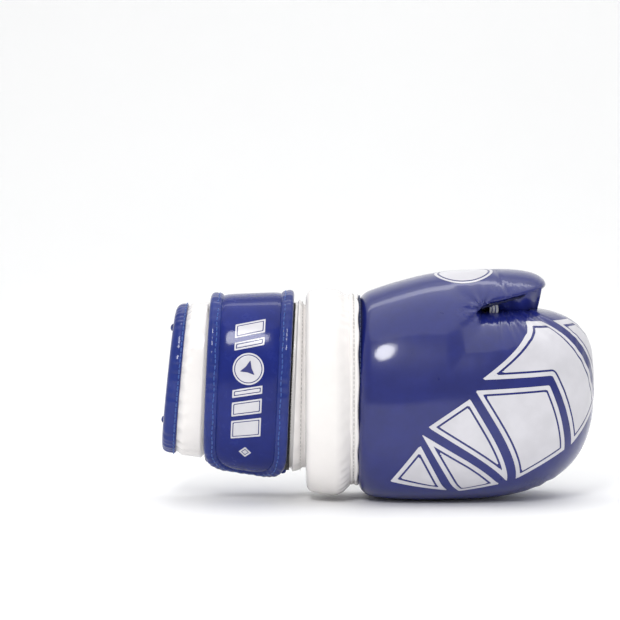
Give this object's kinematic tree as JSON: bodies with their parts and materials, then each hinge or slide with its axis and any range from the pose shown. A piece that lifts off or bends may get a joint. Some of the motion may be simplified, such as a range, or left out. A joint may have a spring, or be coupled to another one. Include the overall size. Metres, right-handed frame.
{
  "type": "open-palm sparring glove",
  "caption": "Padded open-palm martial arts glove for the right hand, with a curved finger pad, tethered thumb, wrist roll and a wrap-round hook-and-loop wrist strap.",
  "frame": {"origin": "middle of the glove's box, on the surface it stands on with its little-finger edge", "axes": "+X along the hand to the fingers, +Y out of the palm, +Z across the hand to the thumb"},
  "size_m": [0.2866, 0.1068, 0.1507],
  "materials": {
    "cover_blue": "gloss",
    "cover_white": "gloss",
    "binding_blue": "gloss",
    "strap_blue": "gloss",
    "lining_mesh": "matte",
    "neoprene": "matte",
    "foam": "matte",
    "label_cloth": "matte",
    "loop_pile": "matte",
    "hook_tape": "matte",
    "badge": "satin"
  },
  "bodies": {
    "glove_back": {"cuff_cover": "cover_white", "cuff_foam": "foam", "cuff_lining": "lining_mesh", "cuff_binding": "binding_blue", "binding_tail_thumb": "binding_blue", "binding_tail_finger": "binding_blue", "wrist_gusset": "neoprene", "heel_panel": "lining_mesh", "roll_cover": "cover_white", "roll_foam": "foam", "roll_flange": "cover_white", "back_cover": "cover_blue", "back_side_panel": "cover_blue", "back_foam": "foam", "back_lining": "lining_mesh", "cuff_loop_patch": "loop_pile", "strap_root": "strap_blue"},
    "finger_pad": {"finger_cover": "cover_blue", "finger_side_panel": "cover_blue", "finger_foam": "foam", "finger_lining": "lining_mesh", "finger_hem": "lining_mesh", "thumb_cover": "cover_blue", "thumb_foam": "foam", "thumb_lining": "lining_mesh", "thumb_web": "cover_blue", "thumb_label": "label_cloth"},
    "strap_wrap": {"strap_palm_panel": "strap_blue", "strap_palm_edge_near": "strap_blue", "strap_palm_edge_far": "strap_blue", "strap_badge": "badge"},
    "strap_flap": {"strap_back_panel": "strap_blue", "strap_back_edge_near": "strap_blue", "strap_back_edge_far": "strap_blue", "strap_back_hook": "hook_tape"},
    "strap_tip": {"strap_tip_panel": "strap_blue", "strap_tip_edge": "strap_blue", "strap_tip_hook": "hook_tape"}
  },
  "joints": [
    {"name": "knuckle_flex", "type": "hinge", "parent": "glove_back", "child": "finger_pad", "pos_m": [0.04835, -0.05443, 0.06], "axis": [0, 0, -1], "range_deg": [-5, 20], "stiffness_Nm_per_rad": 1.5},
    {"name": "strap_unwrap", "type": "hinge", "parent": "glove_back", "child": "strap_wrap", "pos_m": [-0.08408, 0.02055, 0.02359], "axis": [-0.9898, -0.0182, 0.1412], "range_deg": [0, 38]},
    {"name": "strap_peel", "type": "hinge", "parent": "strap_wrap", "child": "strap_flap", "pos_m": [-0.07901, -0.00083, 0.1347], "axis": [-0.9995, -0.002, -0.0325], "range_deg": [0, 100]},
    {"name": "tip_peel", "type": "hinge", "parent": "strap_flap", "child": "strap_tip", "pos_m": [-0.08324, -0.04101, 0.04195], "axis": [-0.9932, 0.0286, 0.1128], "range_deg": [0, 60]}
  ],
  "couplings": [
    {"joint": "strap_unwrap", "follows": "strap_peel", "ratio": 0.38}
  ]
}
